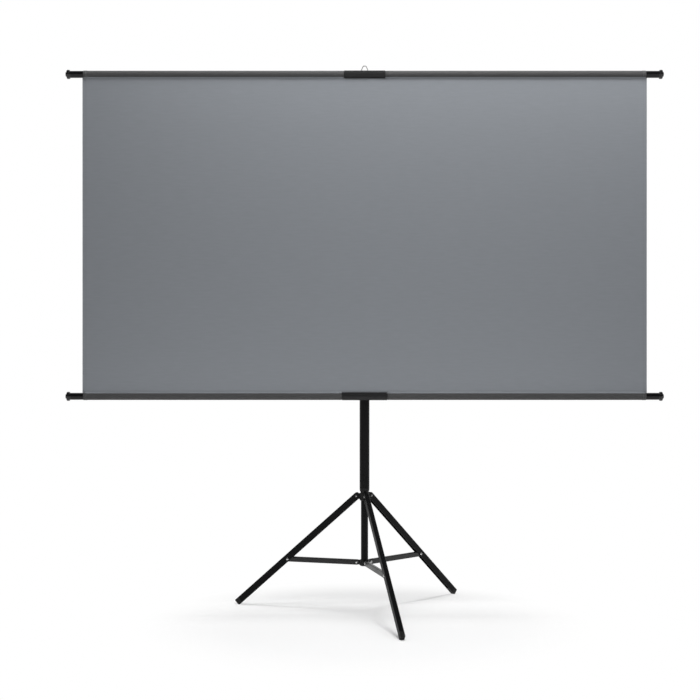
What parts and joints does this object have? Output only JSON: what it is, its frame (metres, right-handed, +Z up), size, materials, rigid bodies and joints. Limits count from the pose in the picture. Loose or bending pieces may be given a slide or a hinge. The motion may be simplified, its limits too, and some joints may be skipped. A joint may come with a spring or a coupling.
{
  "type": "projection screen with tripod stand",
  "caption": "Flat grey projection cloth sewn to upper and lower rods, hung on a telescopic mast with a folding channel-leg tripod.",
  "frame": {"origin": "on the floor under the mast's axis, in the middle of the three feet", "axes": "+Z up along the mast, +X to the viewer's right along the rods, +Y away from the viewer"},
  "size_m": [1.4082, 0.5471, 1.2902],
  "materials": {
    "mast_paint": "semi-gloss black paint",
    "leg_paint": "semi-gloss black paint",
    "moulded_black": "fine-grained black moulding",
    "gloss_black": "glossy black moulding",
    "rod_paint": "glossy black coating on tube",
    "sleeve_cloth": "dark grey woven tape",
    "screen_cloth": "matt grey coated projection cloth",
    "rubber_foot": "matt black rubber",
    "zinc_steel": "bright zinc-plated steel"
  },
  "bodies": {
    "stand": {"base_tube": "mast_paint", "leg_collar": "moulded_black", "base_lock_collar": "moulded_black"},
    "post": {"center_post": "mast_paint", "post_guide": "moulded_black", "spreader_hub": "moulded_black", "hub_rivets": "zinc_steel"},
    "mid_mast": {"mid_tube": "mast_paint", "mid_guide": "moulded_black", "mid_lock_collar": "moulded_black"},
    "top_mast": {"top_tube": "mast_paint", "top_guide": "moulded_black"},
    "base_knob": {"base_lock_knob": "moulded_black", "base_lock_screw": "zinc_steel"},
    "mid_knob": {"mid_lock_knob": "moulded_black", "mid_lock_screw": "zinc_steel"},
    "screen": {"upper_joiner": "gloss_black", "lower_joiner": "gloss_black", "hanging_eye": "zinc_steel", "screen_fabric": "screen_cloth", "upper_seam": "screen_cloth", "lower_seam": "screen_cloth", "side_hem_left": "screen_cloth", "side_hem_right": "screen_cloth", "upper_rod_left": "rod_paint", "upper_sleeve_left": "sleeve_cloth", "upper_end_cap_left": "gloss_black", "upper_rod_right": "rod_paint", "upper_sleeve_right": "sleeve_cloth", "upper_end_cap_right": "gloss_black", "lower_rod_left": "rod_paint", "lower_sleeve_left": "sleeve_cloth", "lower_end_cap_left": "gloss_black", "lower_rod_right": "rod_paint", "lower_sleeve_right": "sleeve_cloth", "lower_end_cap_right": "gloss_black"},
    "brace_front": {"brace_front": "leg_paint"},
    "leg_front": {"leg_front": "leg_paint", "foot_front": "rubber_foot", "brace_rivet_front": "zinc_steel", "collar_rivet_front": "leg_paint"},
    "brace_right": {"brace_right": "leg_paint"},
    "leg_right": {"leg_right": "leg_paint", "foot_right": "rubber_foot", "brace_rivet_right": "zinc_steel", "collar_rivet_right": "leg_paint"},
    "brace_left": {"brace_left": "leg_paint"},
    "leg_left": {"leg_left": "leg_paint", "foot_left": "rubber_foot", "brace_rivet_left": "zinc_steel", "collar_rivet_left": "leg_paint"}
  },
  "joints": [
    {"name": "tripod_fold", "type": "slide", "parent": "stand", "child": "post", "axis": [0, 0, -1], "range_m": [0, 0.24852]},
    {"name": "brace_fold_front", "type": "hinge", "parent": "post", "child": "brace_front", "pos_m": [0.0045, -0.01805, 0.11578], "axis": [-0.9703, -0.2419, 0], "range_deg": [0, 85.63]},
    {"name": "leg_fold_front", "type": "hinge", "parent": "brace_front", "child": "leg_front", "pos_m": [0.04635, -0.1859, 0.11578], "axis": [0.9703, 0.2419, 0], "range_deg": [0, 130.03]},
    {"name": "brace_fold_right", "type": "hinge", "parent": "post", "child": "brace_right", "pos_m": [0.01338, 0.01292, 0.11578], "axis": [0.6947, -0.7193, 0], "range_deg": [0, 85.63]},
    {"name": "leg_fold_right", "type": "hinge", "parent": "brace_right", "child": "leg_right", "pos_m": [0.13782, 0.13309, 0.11578], "axis": [-0.6947, 0.7193, 0], "range_deg": [0, 130.03]},
    {"name": "brace_fold_left", "type": "hinge", "parent": "post", "child": "brace_left", "pos_m": [-0.01788, 0.00513, 0.11578], "axis": [0.2756, 0.9613, 0], "range_deg": [0, 85.63]},
    {"name": "leg_fold_left", "type": "hinge", "parent": "brace_left", "child": "leg_left", "pos_m": [-0.18417, 0.05281, 0.11578], "axis": [-0.2756, -0.9613, 0], "range_deg": [0, 130.03]},
    {"name": "mid_slide", "type": "slide", "parent": "stand", "child": "mid_mast", "axis": [0, 0, 1], "range_m": [-0.08, 0.06]},
    {"name": "top_slide", "type": "slide", "parent": "mid_mast", "child": "top_mast", "axis": [0, 0, 1], "range_m": [-0.08, 0.06]},
    {"name": "screen_swivel", "type": "hinge", "parent": "top_mast", "child": "screen", "pos_m": [0, 0, 1.26954], "axis": [0, 0, 1], "range_deg": [-90, 90]},
    {"name": "base_knob_turn", "type": "hinge", "parent": "stand", "child": "base_knob", "pos_m": [0, 0.03, 0.768], "axis": [0, 1, 0], "continuous": true},
    {"name": "mid_knob_turn", "type": "hinge", "parent": "mid_mast", "child": "mid_knob", "pos_m": [0, 0.03, 1.048], "axis": [0, 1, 0], "continuous": true}
  ],
  "couplings": [
    {"joint": "brace_fold_front", "follows": "tripod_fold", "rad_per_m": 6.0102},
    {"joint": "leg_fold_front", "follows": "tripod_fold", "rad_per_m": 9.1284},
    {"joint": "brace_fold_right", "follows": "tripod_fold", "rad_per_m": 6.0102},
    {"joint": "leg_fold_right", "follows": "tripod_fold", "rad_per_m": 9.1284},
    {"joint": "brace_fold_left", "follows": "tripod_fold", "rad_per_m": 6.0102},
    {"joint": "leg_fold_left", "follows": "tripod_fold", "rad_per_m": 9.1284}
  ]
}
